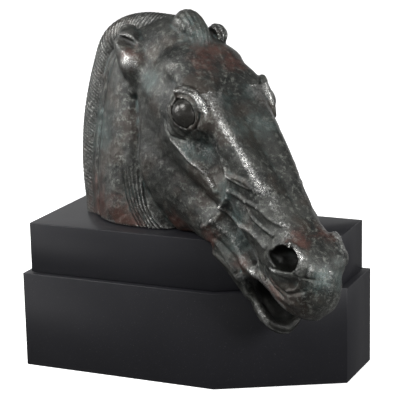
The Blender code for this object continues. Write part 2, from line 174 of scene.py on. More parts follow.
# Masses of the head: (centre, radii) of balls, (points, radii) of rods
CRANIUM = (0.10, 0.165, 0), (0.185, 0.175, 0.130)
FOREHEAD = (0.25, 0.150, 0), (0.220, 0.165, 0.145)
JAW_PLATE = (0.318, 0.296, 0.082), (0.215, 0.212, 0.082)
MUZZLE = (0.900, 0.160, 0), (0.112, 0.106, 0.086)
CHIN = (0.850, 0.374, 0), (0.096, 0.036, 0.056)
NOSE = [(0.38, 0.140, 0), (0.62, 0.145, 0), (0.84, 0.155, 0)], [0.128, 0.102, 0.088]
JAW_BAR = [(0.32, 0.330, 0.055), (0.58, 0.290, 0.052), (0.80, 0.325, 0.040)], [0.120, 0.080, 0.050]
EAR = ([(0.112, 0.170, 0.108), (0.050, 0.144, 0.126), (-0.012, 0.130, 0.122), (-0.056, 0.122, 0.108)],
       [0.038, 0.052, 0.046, 0.026])


def skull(p):
    d = blend(ellipsoid(p, *CRANIUM), ellipsoid(p, *FOREHEAD), 0.06)
    bridge = rod(p, [(0.20, 0.060, 0.070), (0.42, 0.058, 0.062), (0.60, 0.068, 0.046), (0.80, 0.094, 0.030)],
                 [0.074, 0.056, 0.044, 0.036])
    edge = rod(p, [(0.34, 0.032, 0.074), (0.44, 0.026, 0.076), (0.58, 0.040, 0.062), (0.72, 0.070, 0.046)],
               [0.020, 0.022, 0.020, 0.012])
    d = blend(d, rod(p, *NOSE), 0.05)
    d = blend(d, bridge, 0.04)
    return blend(d, edge, 0.025)


def orbit(p):
    """The bony rim that stands out round the eye, and the arch behind it."""
    d = ellipsoid(p, (0.322, 0.058, 0.096), (0.086, 0.064, 0.052), 14, -8)
    arch = rod(p, [(0.10, 0.150, 0.108), (0.22, 0.130, 0.120), (0.32, 0.125, 0.116)], [0.028, 0.028, 0.034])
    return blend(d, arch, 0.04)


def crest(p):
    """Cheekbone ridge that runs forward from below the eye."""
    return rod(p, [(0.34, 0.160, 0.126), (0.44, 0.176, 0.124), (0.58, 0.180, 0.100)], [0.036, 0.024, 0.012])


def jaw(p):
    return blend(ellipsoid(p, *JAW_PLATE, 10, -5), rod(p, *JAW_BAR), 0.04)


def muzzle(p):
    d = ellipsoid(p, *MUZZLE)
    lip = ellipsoid(p, (0.952, 0.190, 0), (0.072, 0.078, 0.076), 10)
    flare = ellipsoid(p, (0.876, 0.108, 0.050), (0.078, 0.050, 0.044), -16, 8)
    side = ellipsoid(p, (0.840, 0.205, 0.026), (0.105, 0.068, 0.050), 14)
    rim = curve([(0.760, 0.270, 0.068), (0.860, 0.248, 0.068), (0.945, 0.240, 0.054), (1.000, 0.226, 0)])
    edge = rod(p, rim, np.linspace(0.009, 0.017, 12))
    d = blend(d, lip, 0.030)
    d = blend(d, side, 0.030)
    d = blend(d, flare, 0.025)
    return blend(d, edge, 0.012)


def chin(p):
    """Lower lip with a rolled edge, and the rounded chin below it."""
    d = ellipsoid(p, *CHIN, 7)
    rim = curve([(0.770, 0.338, 0.054), (0.850, 0.346, 0.062), (0.915, 0.360, 0.048), (0.942, 0.368, 0)])
    edge = rod(p, rim, np.linspace(0.009, 0.017, 12))
    return blend(d, edge, 0.016)


MOUTH = (0.985, 0.309, 0)
MOUTH_SIZE = (0.242, 0.054, 0.140)
MOUTH_TILT = 1


def mouth_gap(p):
    """Opening between the lips, a lens that narrows to the corners."""
    return ellipsoid(p, MOUTH, MOUTH_SIZE, MOUTH_TILT)


EYE = (0.338, 0.063, 0.125)
EYE_FACING = (0.24, -0.38, 0.89)
EYE_RADIUS = 0.051
LID_THICKNESS = 0.007


def eye(p):
    """Ball under two lids: the lids are a thicker shell with an almond opening."""
    x, y, z = local(p, EYE, EYE_FACING, (0.97, 0.22, 0))
    ball = np.sqrt(x * x + y * y + z * z) - EYE_RADIUS
    reach, rise = 0.054, 0.037
    sag = (reach ** 2 - rise ** 2) / (2 * rise)
    side = [np.sqrt(x * x + (y - k) ** 2) - rise - sag for k in (sag, -sag)]
    opening = np.maximum(np.maximum(*side), -z)
    lids = carve(ball - LID_THICKNESS, opening, 0.003)
    turns = np.radians(range(190, 346, 12))
    fold = rod((x, y, z), [(0.068 * cos(t), 0.060 * sin(t), 0.026) for t in turns], 0.013)
    pouch = rod((x, y, z), [(0.070 * cos(t), -0.060 * sin(t), 0.014) for t in turns[3:-2]], 0.005)
    duct = rod((x, y, z), [(0.050, 0.002, 0.026), (0.072, 0.010, 0.010)], [0.010, 0.007])
    return ball, lids, blend(blend(fold, pouch, 0.004), duct, 0.010)


def nostril(p):
    """Comma-shaped hollow and the raised rim round it."""
    q = local(p, (0.866, 0.103, 0.092), (0.22, -0.34, 0.92), (0.84, -0.54, 0))
    turns = np.radians(np.linspace(-80, 210, 15))
    size = np.linspace(0.85, 1.15, 15)
    rim = rod(q, [(0.064 * k * cos(t), 0.044 * k * sin(t), 0.004) for t, k in zip(turns, size)], 0.0095)
    hollow = ellipsoid(q, (0.006, 0.002, 0), (0.053, 0.034, 0.062), 0)
    tail = ellipsoid(q, (-0.036, 0.014, 0), (0.030, 0.018, 0.040), 24)
    return rim, blend(hollow, tail, 0.01)


def ear(p):
    """Short ear laid back against the neck, with a slit along its upper side."""
    body = rod(p, *EAR)
    slit = ellipsoid(p, (0.008, 0.100, 0.166), (0.064, 0.014, 0.036), -18, -14)
    return carve(body, slit, 0.010)


def forelock(p):
    """Short rounded tuft of hair between the ears, with a lock on the far side."""
    s, v, u = p
    d = ellipsoid(p, (0.066, -0.006, 0), (0.058, 0.048, 0.046), -14)
    d = blend(d, ellipsoid(p, (0.122, -0.016, 0.006), (0.040, 0.024, 0.030), 16), 0.030)
    d = blend(d, ellipsoid(p, (0.100, 0.008, 0.092), (0.038, 0.032, 0.026), -20), 0.016)
    return d - 0.0012 * np.cos(2 * pi * (u / 0.013 + 2.2 * s))


NECK_Z = [-0.05, 0.0, 0.15, 0.30, 0.45, 0.54, 0.59]
NECK_REAR = [-0.218, -0.218, -0.236, -0.234, -0.208, -0.170, -0.120]
NECK_FRONT = [0.19, 0.19, 0.18, 0.17, 0.16, 0.16, 0.15]
NECK_HALF = [0.134, 0.134, 0.120, 0.100, 0.088, 0.080, 0.070]
NECK_SIDE = [0.0, 0.0, 0.010, 0.025, 0.045, 0.055, 0.060]
NECK_SQUARE = [3.0, 3.0, 2.8, 2.5, 2.3, 2.2, 2.2]
NECK_CREST = 0.42


def neck(q):
    """Level sections, narrow at the crest: rear edge, front edge, half width, sideways shift."""
    a, w, z = q
    rear, front, half, side, power = (smooth_line(z, NECK_Z, t) for t in
                                      (NECK_REAR, NECK_FRONT, NECK_HALF, NECK_SIDE, NECK_SQUARE))
    mid, reach = (rear + front) / 2, (front - rear) / 2
    forward = np.clip((a - rear) / reach, 0, 1)
    wide = half * (NECK_CREST + (1 - NECK_CREST) * forward * (2 - forward))
    k = (np.abs((a - mid) / reach) ** power + np.abs((w - side) / wide) ** power) ** (1 / power)
    round_side = (k - 1) * np.minimum(reach, wide)
    top = z - NECK_Z[-1]
    return -blend(-round_side, -top, 0.12)


MANE_DEPTH = 0.046
MANE_HALF = 0.040


def mane_line(count):
    """Middle of the clipped mane: up the rear of the neck and over to the poll."""
    stations = [(r + 0.016, w, z) for r, w, z in zip(NECK_REAR, NECK_SIDE, NECK_Z)][:-1]
    stations += [(-0.06, 0.060, 0.578), (0.09, 0.062, 0.572)]
    return curve(stations, count)


def mane(q):
    """An oval band, deeper than it is wide."""
    flat = MANE_DEPTH / MANE_HALF
    return rod((q[0], q[1] * flat, q[2]), mane_line(24) * (1, flat, 1), MANE_DEPTH) / flat


def stroke(s, v, path, width):
    """1 on a line drawn on the side of the head, falling to 0 about `width` away from it."""
    flat = [(a, b, 0) for a, b in path]
    return np.exp(-(rod((s, v, 0 * s), curve(flat, 4 * len(flat)), 0) / width) ** 2)


def head_relief(p):
    """Veins, folds and hollows of the side of the head, as heights above the plain form."""
    s, v, u = p
    side = np.clip((u - 0.03) / 0.04, 0, 1)
    veins = [
        (0.0050, 0.009, [(0.600, 0.195), (0.598, 0.150), (0.570, 0.105), (0.520, 0.080)]),
        (0.0045, 0.007, [(0.590, 0.130), (0.650, 0.110), (0.700, 0.085)]),
        (0.0045, 0.007, [(0.560, 0.100), (0.610, 0.070), (0.660, 0.058)]),
        (0.0060, 0.009, [(0.600, 0.195), (0.660, 0.190), (0.730, 0.160), (0.790, 0.150)]),
        (0.0045, 0.007, [(0.690, 0.180), (0.740, 0.200), (0.790, 0.205)]),
        (0.0035, 0.009, [(0.590, 0.290), (0.605, 0.250), (0.600, 0.200)]),
        (0.0040, 0.007, [(0.700, 0.085), (0.760, 0.075), (0.800, 0.055)]),
    ]
    folds = [
        (0.0070, 0.012, [(0.600, 0.245), (0.680, 0.245), (0.750, 0.268), (0.800, 0.262)]),
        (0.0060, 0.010, [(0.660, 0.330), (0.720, 0.315), (0.770, 0.318)]),
        (-0.0070, 0.010, [(0.640, 0.215), (0.710, 0.222), (0.770, 0.238)]),
        (-0.0060, 0.009, [(0.640, 0.280), (0.710, 0.282), (0.760, 0.296)]),
        (-0.0050, 0.008, [(0.820, 0.200), (0.880, 0.208), (0.935, 0.185), (0.965, 0.140)]),
        (-0.0045, 0.007, [(0.950, 0.060), (0.985, 0.110), (0.995, 0.170), (0.985, 0.215)]),
        (0.0050, 0.010, [(0.790, 0.235), (0.860, 0.240), (0.930, 0.222), (0.975, 0.190)]),
        (0.0040, 0.008, [(0.376, 0.104), (0.430, 0.140), (0.500, 0.160), (0.560, 0.168)]),
    ]
    hollows = [
        (-0.0120, 0.036, [(0.450, 0.095), (0.520, 0.115)]),
        (-0.0100, 0.030, [(0.190, 0.060), (0.250, 0.045)]),
        (-0.0060, 0.030, [(0.640, 0.120), (0.760, 0.130)]),
    ]
    lines = veins + folds + hollows
    return side * sum(height * stroke(s, v, path, width) for height, width, path in lines)


THROAT_GROOVE = [(0.134, 0.216), (0.207, 0.269), (0.285, 0.338), (0.353, 0.377), (0.489, 0.422)]


def throat(s, v, u):
    """Deep groove behind the jaw, on the side towards which the neck bends."""
    return 0.017 * stroke(s, v, THROAT_GROOVE, 0.016) * np.clip((-0.03 - u) / 0.04, 0, 1)


MANE_BORDER = 0.066


def neck_relief(q):
    """Groove along the mane's border, and the muscle of the neck's side."""
    a, w, z = q
    behind = a - smooth_line(z, NECK_Z, NECK_REAR)
    fade = np.clip((0.56 - z) / 0.08, 0, 1)
    border = -0.006 * fade * np.exp(-((behind - MANE_BORDER) / 0.008) ** 2)
    muscle = 0.010 * stroke(a, z, [(-0.120, 0.46), (-0.090, 0.34), (-0.070, 0.22), (-0.080, 0.06)], 0.050)
    return border + muscle


def head_field(points):
    s, v, u = to_head(points)
    p = (s, v, np.sqrt(u * u + 0.008 ** 2))
    q = to_neck(points)
    d = blend(skull(p), jaw(p), 0.05)
    d = blend(d, orbit(p), 0.04)
    d = blend(d, crest(p), 0.03)
    d = blend(d, muzzle(p), 0.04)
    d = carve(d, mouth_gap(p), 0.012)
    d = blend(d, chin(p), 0.012)
    d = blend(d, neck(q), 0.05)
    d = blend(d, mane(q), 0.006)
    d = blend(d, forelock((s, v, u)), 0.012)
    d = d - head_relief(p) - neck_relief(q) + throat(s, v, u)
    d = blend(d, ear(p), 0.012)
    rim, hollow = nostril(p)
    d = carve(blend(d, rim, 0.020), hollow, 0.006)
    ball, lids, folds = eye(p)
    d = blend(blend(d, lids, 0.020), folds, 0.012)
    return np.minimum(d, ball)


def unit_ball(bm, centre, radii, matrix):
    bmesh.ops.create_icosphere(bm, subdivisions=3, radius=1.0,
                               matrix=matrix @ Matrix.Translation(centre) @ Matrix.Diagonal((*radii, 1)))


def head_matrix():
    m = Matrix(head_axes().tolist()).to_4x4()
    return Matrix.Translation(POLL) @ m @ Matrix.Scale(HEAD_LENGTH, 4)


def object_from(bm, name, collection=None):
    mesh = bpy.data.meshes.new(name)
    bm.to_mesh(mesh)
    bm.free()
    obj = bpy.data.objects.new(name, mesh)
    bpy.data.collections[collection or COLLECTION].objects.link(obj)
    return obj


def bake(obj):
    """Replace the object's mesh by what its modifiers make."""
    graph = bpy.context.evaluated_depsgraph_get()
    mesh = bpy.data.meshes.new_from_object(obj.evaluated_get(graph))
    old = obj.data
    obj.modifiers.clear()
    obj.data = mesh
    bpy.data.meshes.remove(old)


def remesh(obj, cell):
    mod = obj.modifiers.new("skin", "REMESH")
    mod.mode = "VOXEL"
    mod.voxel_size = cell
    mod.use_smooth_shade = True
    bake(obj)


def settle(obj, field, passes):
    """Move every vertex along its normal until it lies on the field's surface."""
    mesh = obj.data
    count = len(mesh.vertices)
    co = np.empty(count * 3)
    no = np.empty(count * 3)
    for _ in range(passes):
        mesh.vertices.foreach_get("co", co)
        mesh.update()
        mesh.vertex_normals.foreach_get("vector", no)
        points, normals = co.reshape(-1, 3), no.reshape(-1, 3)
        step = np.clip(field(points) * HEAD_LENGTH, -0.004, 0.004)
        points = points - normals * step[:, None]
        mesh.vertices.foreach_set("co", points.ravel())
        mesh.update()


def smooth(obj, factor, times):
    mod = obj.modifiers.new("smooth", "SMOOTH")
    mod.factor = factor
    mod.iterations = times
    bake(obj)


def clay_balls(bm):
    """Plain balls that fill the head roughly; the field then gives them their form."""
    m = head_matrix()
    for side in (-1, 1):
        flip = m @ Matrix.Diagonal((1, 1, side, 1))
        for centre, radii in (CRANIUM, FOREHEAD, JAW_PLATE, MUZZLE, CHIN):
            unit_ball(bm, centre, radii, flip)
        for points, radii in (NOSE, JAW_BAR, EAR):
            reach = np.linspace(radii[0], radii[-1], 12)
            for centre, radius in zip(curve(points), reach):
                unit_ball(bm, centre, [radius] * 3, flip)
    n = Matrix.Translation(NECK_FOOT) @ Matrix.Rotation(NECK_YAW, 4, "Z") @ Matrix.Scale(HEAD_LENGTH, 4)
    for z in np.linspace(NECK_Z[0], NECK_Z[-1], 18)[1:-1]:
        rear, front, half, side = (float(smooth_line(z, NECK_Z, t))
                                   for t in (NECK_REAR, NECK_FRONT, NECK_HALF, NECK_SIDE))
        unit_ball(bm, ((rear + front) / 2, side, z), ((front - rear) / 2, half, 0.06), n)


def mouth_cutter():
    bm = bmesh.new()
    turn = Matrix.Translation(MOUTH) @ Matrix.Rotation(radians(MOUTH_TILT), 4, "Z")
    unit_ball(bm, (0, 0, 0), MOUTH_SIZE, head_matrix() @ turn)
    return hide(object_from(bm, "mouth_cutter", CUTTERS))


def keep_largest(obj):
    """Drop loose crumbs and keep the biggest closed piece."""
    bm = bmesh.new()
    bm.from_mesh(obj.data)
    left = set(bm.verts)
    pieces = []
    while left:
        piece, front = set(), [left.pop()]
        while front:
            vert = front.pop()
            piece.add(vert)
            near = {edge.other_vert(vert) for edge in vert.link_edges} & left
            left -= near
            front += near
        pieces.append(piece)
    pieces.sort(key=len)
    bmesh.ops.delete(bm, geom=[v for piece in pieces[:-1] for v in piece], context="VERTS")
    bm.to_mesh(obj.data)
    bm.free()


def cut(obj, cutter):
    mod = obj.modifiers.new("cut", "BOOLEAN")
    mod.operation = "DIFFERENCE"
    mod.solver = "EXACT"
    mod.object = cutter
    bake(obj)


def thin_out(obj, triangles):
    bm = bmesh.new()
    bm.from_mesh(obj.data)
    bmesh.ops.remove_doubles(bm, verts=bm.verts, dist=WELD)
    bmesh.ops.triangulate(bm, faces=bm.faces)
    count = len(bm.faces)
    bm.to_mesh(obj.data)
    bm.free()
    mod = obj.modifiers.new("thin_out", "DECIMATE")
    mod.ratio = min(1.0, triangles / count)
    mod.use_collapse_triangulate = True
    bake(obj)
    obj.data.shade_smooth()
    obj.data.set_sharp_from_angle(angle=radians(50))


def plinth_cutter():
    """The lower tier's plan up to the upper tier's top, larger by a piece gap: it clears the ledge too."""
    plan = outline(-PIECE_GAP)
    return hide(stack("plinth_cutter", [(plan, -0.05), (plan, PLINTH_TOP + PIECE_GAP)], CUTTERS))


def hide(obj):
    obj.hide_render = True
    obj.display_type = "WIRE"
    return obj


def stack(name, levels, collection=None):
    """Closed block through plans of equal corner count at rising heights."""
    bm = bmesh.new()
    rings = [[bm.verts.new((x, y, z)) for x, y in plan] for plan, z in levels]
    for low, high in zip(rings, rings[1:]):
        for i in range(len(low)):
            j = (i + 1) % len(low)
            bm.faces.new((low[i], low[j], high[j], high[i]))
    bm.faces.new(rings[0])
    bm.faces.new(rings[-1])
    bmesh.ops.recalc_face_normals(bm, faces=bm.faces)
    return object_from(bm, name, collection)


def outline(inset):
    """Plinth plan: a rectangle whose near right corner is cut off, all sides moved in by `inset`."""
    x, y = PLINTH_LENGTH / 2 - inset, PLINTH_DEPTH / 2 - inset
    run = Vector((CORNER_CUT_X, CORNER_CUT_Y)).normalized()
    start = Vector((PLINTH_LENGTH / 2 - CORNER_CUT_X, -PLINTH_DEPTH / 2)) + Vector((-run.y, run.x)) * inset
    cut_y = start + run * ((-y - start.y) / run.y)
    cut_x = start + run * ((x - start.x) / run.x)
    return [(-x, -y), tuple(cut_y), tuple(cut_x), (x, y), (-x, y)]


def plinth_field(points):
    """Distance to the block that the head is cut round, negative inside it."""
    x, y, z = points.T
    d = z - PLINTH_TOP
    plan = [np.array(c) for c in outline(0)]
    for a, b in zip(plan, plan[1:] + plan[:1]):
        out = np.array([b[1] - a[1], a[0] - b[0]]) / np.hypot(*(b - a))
        d = np.maximum(d, (x - a[0]) * out[0] + (y - a[1]) * out[1])
    return d - PIECE_GAP


# Fine lines of the face and throat: height, width, points
FINE_LINES = [
    (0.0042, 0.0042, [(0.358, 0.151), (0.439, 0.157), (0.480, 0.150), (0.542, 0.159)]),
    (0.0036, 0.0038, [(0.480, 0.070), (0.533, 0.092), (0.580, 0.095), (0.640, 0.070)]),
    (0.0038, 0.0045, [(0.600, 0.150), (0.650, 0.165), (0.700, 0.200), (0.740, 0.215)]),
    (0.0036, 0.0042, [(0.650, 0.110), (0.690, 0.125), (0.740, 0.120), (0.790, 0.100)]),
    (0.0034, 0.0042, [(0.660, 0.290), (0.700, 0.300), (0.750, 0.305)]),
    (-0.0030, 0.0045, [(0.640, 0.345), (0.700, 0.345), (0.760, 0.350)]),
    (-0.0035, 0.0045, [(0.770, 0.215), (0.800, 0.235), (0.840, 0.235)]),
    (-0.0035, 0.0045, [(0.790, 0.200), (0.830, 0.218), (0.880, 0.222), (0.930, 0.210)]),
    (-0.0030, 0.0040, [(0.905, 0.050), (0.935, 0.075), (0.955, 0.110)]),
    (0.0038, 0.0042, [(0.915, 0.070), (0.945, 0.110), (0.950, 0.150), (0.930, 0.180)]),
    (-0.0035, 0.0045, [(0.900, 0.110), (0.943, 0.103), (0.973, 0.094), (0.995, 0.099)]),
    (-0.0028, 0.0040, [(0.385, 0.020), (0.400, 0.050), (0.395, 0.085)]),
    (-0.0028, 0.0040, [(0.270, 0.020), (0.300, 0.002), (0.340, -0.010), (0.380, 0.005)]),
    (-0.0025, 0.0040, [(0.290, 0.130), (0.340, 0.145), (0.390, 0.125)]),
]
THROAT_FOLDS = 6
THROAT_PITCH = 0.013
THROAT_DEPTH = 0.0062
WAVE_LENGTHS = (0.110, 0.062, 0.037)
WAVE_HEIGHT = 0.0008


def hand_work(points):
    """Low uneven waves left by the modeller's hands, the same on every run."""
    x, y, z = (points / HEAD_LENGTH).T
    total = 0
    for k, length in enumerate(WAVE_LENGTHS):
        f = 2 * pi / length
        total = total + WAVE_HEIGHT / (1 + k) * (
            np.sin(f * (x + 0.4 * y) + 3 * np.sin(0.31 * f * z + k))
            * np.sin(f * (z - 0.3 * x) + 3 * np.sin(0.27 * f * y + 2 * k)))
    return total


def throat_folds(points):
    """Creases of the skin where the neck meets the jaw, a fan drawn in the neck's frame."""
    a, w, z = to_neck(points)
    folds = [[(k - 0.040, 0.22), (k - 0.030, 0.12), (k - 0.008, 0.05), (1.1 * k + 0.034, -0.01)]
             for k in np.arange(THROAT_FOLDS) * THROAT_PITCH]
    depth = THROAT_DEPTH * np.clip((0.20 - z) / 0.12, 0, 1)
    return depth * sum(stroke(a, z, path, 0.32 * THROAT_PITCH) for path in folds)


def skin_field(points):
    s, v, u = to_head(points)
    side = np.clip((np.abs(u) - 0.03) / 0.03, 0, 1) * np.clip((s - 0.22) / 0.05, 0, 1)
    fine = side * sum(height * stroke(s, v, path, width) for height, width, path in FINE_LINES)
    form = head_field(points) - fine + throat_folds(points) - hand_work(points)
    return carve(form, plinth_field(points) / HEAD_LENGTH, 0.008)


def detailed(points):
    """True on the face and the throat, where the skin is cut finer."""
    s, v, u = to_head(points)
    a, w, z = to_neck(points)
    face = (s > 0.25) & (v < 0.34) & (np.abs(u) > 0.03)
    throat = (a > -0.06) & (a < 0.16) & (z < 0.20) & (s < 0.52)
    return face | throat


def refine(obj, picked):
    """Split the faces at the picked places in four."""
    bm = bmesh.new()
    bm.from_mesh(obj.data)
    points = np.array([v.co for v in bm.verts])
    pick = picked(points)
    edges = {e for f in bm.faces if any(pick[v.index] for v in f.verts) for e in f.edges}
    bmesh.ops.subdivide_edges(bm, edges=list(edges), cuts=1, use_grid_fill=True)
    bmesh.ops.triangulate(bm, faces=bm.faces)
    bm.to_mesh(obj.data)
    bm.free()


def build_skin():
    bm = bmesh.new()
    clay_balls(bm)
    obj = object_from(bm, "head_skin")
    remesh(obj, ROUGH_CELL)
    cut(obj, mouth_cutter())
    cut(obj, plinth_cutter())
    keep_largest(obj)
    for cell in SKIN_CELLS:
        remesh(obj, cell)
        settle(obj, skin_field, 3)
        smooth(obj, 0.5, 1)
    refine(obj, detailed)
    settle(obj, skin_field, 3)
    thin_out(obj, SKIN_TRIANGLES)
    return obj


def neighbour_mean(edges, count, values):
    """Mean of each vertex's neighbours."""
    total = np.zeros_like(values)
    np.add.at(total, edges[:, 0], values[edges[:, 1]])
    np.add.at(total, edges[:, 1], values[edges[:, 0]])
    share = np.bincount(edges.ravel(), minlength=count)
    return total / np.maximum(share, 1).reshape(-1, *[1] * (values.ndim - 1))


def mark_wear(obj):
    """Store how hollow (negative) or ridged (positive) the surface is, at a fine and a broad scale."""
    mesh = obj.data
    count = len(mesh.vertices)
    co = np.empty(count * 3)
    no = np.empty(count * 3)
    edges = np.empty(len(mesh.edges) * 2, int)
    mesh.vertices.foreach_get("co", co)
    mesh.vertex_normals.foreach_get("vector", no)
    mesh.edges.foreach_get("vertices", edges)
    points, normals, edges = co.reshape(-1, 3), no.reshape(-1, 3), edges.reshape(-1, 2)
    relaxed = points
    for name, rounds, scale in (("fine_ridge", 6, 0.0010), ("broad_ridge", 60, 0.0100)):
        for _ in range(rounds):
            relaxed = neighbour_mean(edges, count, relaxed)
        height = np.sum((points - relaxed) * normals, 1) / scale
        data = mesh.attributes.new(name, "FLOAT", "POINT").data
        data.foreach_set("value", np.clip(height, -1, 1))


# Places rubbed bright, wear with painted highlights and sheen: share, width, points
RUB_AND_SHEEN_MOST = 1.4
RUB_AND_SHEEN_LINES = [
    (1.4, 0.0095, [(0.342, -0.011), (0.428, 0.006), (0.542, 0.020), (0.669, 0.046)]),
    (0.9, 0.010, [(0.358, 0.151), (0.439, 0.157), (0.480, 0.150), (0.542, 0.159)]),
    (0.7, 0.028, [(0.475, 0.080), (0.533, 0.095), (0.600, 0.115), (0.690, 0.130)]),
    (1.0, 0.030, [(0.400, 0.130), (0.446, 0.110)]),
    (0.6, 0.030, [(0.310, 0.380), (0.380, 0.410), (0.450, 0.430)]),
    (0.4, 0.030, [(0.940, 0.040), (0.970, 0.080)]),
    (0.6, 0.016, [(0.681, 0.036), (0.757, 0.055), (0.824, 0.064)]),
    (0.8, 0.012, [(0.600, 0.195), (0.660, 0.190), (0.740, 0.160)]),
    (0.6, 0.014, [(0.600, 0.245), (0.680, 0.245), (0.760, 0.262)]),
    (1.2, 0.011, [(0.790, 0.262), (0.860, 0.250), (0.940, 0.242)]),
    (0.7, 0.009, [(0.290, 0.020), (0.330, -0.004), (0.377, 0.003)]),
    (1.0, 0.018, [(0.045, 0.124), (0.080, 0.124), (0.105, 0.114)]),
    (0.3, 0.026, [(0.840, 0.060), (0.900, 0.060)]),
    (0.5, 0.016, [(0.880, 0.345), (0.930, 0.352)]),
]

# Patches of red-brown and green patina, and dark patches of painted shade: place in head shares, and reach
RED_SPOTS = [
    ((0.254, 0.553, 0.200), 0.110), ((0.330, 0.496, 0.200), 0.070), ((0.391, 0.483, 0.185), 0.060),
    ((0.531, 0.388, 0.100), 0.060), ((0.498, 0.371, 0.132), 0.050), ((0.045, 0.110, 0.164), 0.045),
    ((0.184, -0.019, 0.020), 0.060), ((0.237, -0.018, 0.047), 0.050), ((0.852, 0.057, 0.046), 0.045),
    ((0.896, 0.243, 0.074), 0.050), ((0.744, 0.272, 0.094), 0.040), ((0.628, 0.294, 0.123), 0.040),
]
# Dark patches: painted shade where the cheek and the brow fall darker under the lights.
PAINTED_SHADE_SPOTS = [
    ((0.400, 0.250, 0.158), 0.100), ((0.330, 0.230, 0.160), 0.100), ((0.240, 0.191, 0.160), 0.060),
    ((0.390, -0.008, 0.035), 0.060), ((0.520, 0.020, 0.030), 0.050),
]
GREEN_SPOTS = [
    ((0.417, 0.136, 0.139), 0.045), ((0.446, 0.110, 0.113), 0.045), ((0.126, -0.042, 0.009), 0.070),
    ((0.661, 0.171, 0.096), 0.050), ((0.469, 0.008, 0.035), 0.060), ((0.975, 0.096, 0.035), 0.050),
    ((0.093, 0.388, 0.182), 0.090), ((0.161, 0.111, 0.148), 0.050), ((0.579, 0.139, 0.107), 0.045),
    ((0.700, 0.250, 0.080), 0.060), ((0.369, -0.008, 0.046), 0.040),
]
PAINTED_SHADE_STRENGTH = 0.55


# The rubbed lines are partly wear and partly painted highlights and sheen.
def rub_and_sheen_share(s, v, u):
    side = np.clip((u - 0.02) / 0.04, 0, 1)
    return side * sum(share * stroke(s, v, path, width) for share, width, path in RUB_AND_SHEEN_LINES)


def patch_share(spots, place):
    """1 at the spots, falling off over their reach."""
    far = [sum((a - b) ** 2 for a, b in zip(place, spot)) / reach ** 2 for spot, reach in spots]
    return np.exp(-np.min(far, 0))


def painted_shade_share(s, v, u):
    """Painted shade inside the mouth and the nostrils, and a thinner painted shade on the cheek and the
    brow.
    """
    p = (s, v, u)
    mouth = np.clip(1 - mouth_gap(p) / 0.006, 0, 1) * np.clip((0.070 - u) / 0.02, 0, 1)
    inside = np.clip(1 - nostril(p)[1] / 0.004, 0, 1)
    return np.maximum(np.maximum(mouth, inside), PAINTED_SHADE_STRENGTH * patch_share(PAINTED_SHADE_SPOTS, p))


def between_ridges(points):
    """1 down in the grooves of the mane, where painted shade darkens them."""
    depth = mane(to_neck(points))
    return np.clip((MANE_COVER - 0.0012 - depth) / 0.0018, 0, 1) * np.clip((depth + 0.008) / 0.002, 0, 1)


def mark_places(obj):
    """Store where the head is rubbed bright with wear and painted highlights, red-brown, green, or darkened
    by painted shade.
    """
    mesh = obj.data
    co = np.empty(len(mesh.vertices) * 3)
    mesh.vertices.foreach_get("co", co)
    points = co.reshape(-1, 3)
    s, v, u = to_head(points)
    place = (s, v, np.abs(u))
    shares = {
        "rub_and_sheen": np.clip(rub_and_sheen_share(*place), 0, RUB_AND_SHEEN_MOST),
        "red_patch": patch_share(RED_SPOTS, place),
        "green_patch": patch_share(GREEN_SPOTS, place),
        "shade": np.maximum(painted_shade_share(*place), between_ridges(points)),
    }
    for name, values in shares.items():
        mesh.attributes.new(name, "FLOAT", "POINT").data.foreach_set("value", values)


def head_place(s, v, u):
    return Vector(np.array(POLL) + head_axes() @ np.array([s, v, u]) * HEAD_LENGTH)


EYE_BULGE = 0.004


def build_eyes():
    for side, name in ((-1, "eye_near"), (1, "eye_far")):
        bm = bmesh.new()
        middle = Vector(EYE) + Vector(EYE_FACING).normalized() * EYE_BULGE
        place = Matrix.Translation(head_place(middle.x, middle.y, middle.z * side))
        radius = EYE_RADIUS * HEAD_LENGTH
        bmesh.ops.create_uvsphere(bm, u_segments=64, v_segments=40, radius=radius, matrix=place)
        obj = object_from(bm, name)
        polish = obj.data.attributes.new("polish", "FLOAT", "POINT").data
        polish.foreach_set("value", [1.0] * len(polish))
        obj.data.shade_smooth()
        yield obj


# Mane: fine ridges round the band that stands along the neck
MANE_PITCH = 0.0042
MANE_GROOVE = 0.0022
MANE_LEAN = 0.50
MANE_COVER = 0.0042
RIDGE_STEPS = 6
ROUND_STEPS = 44


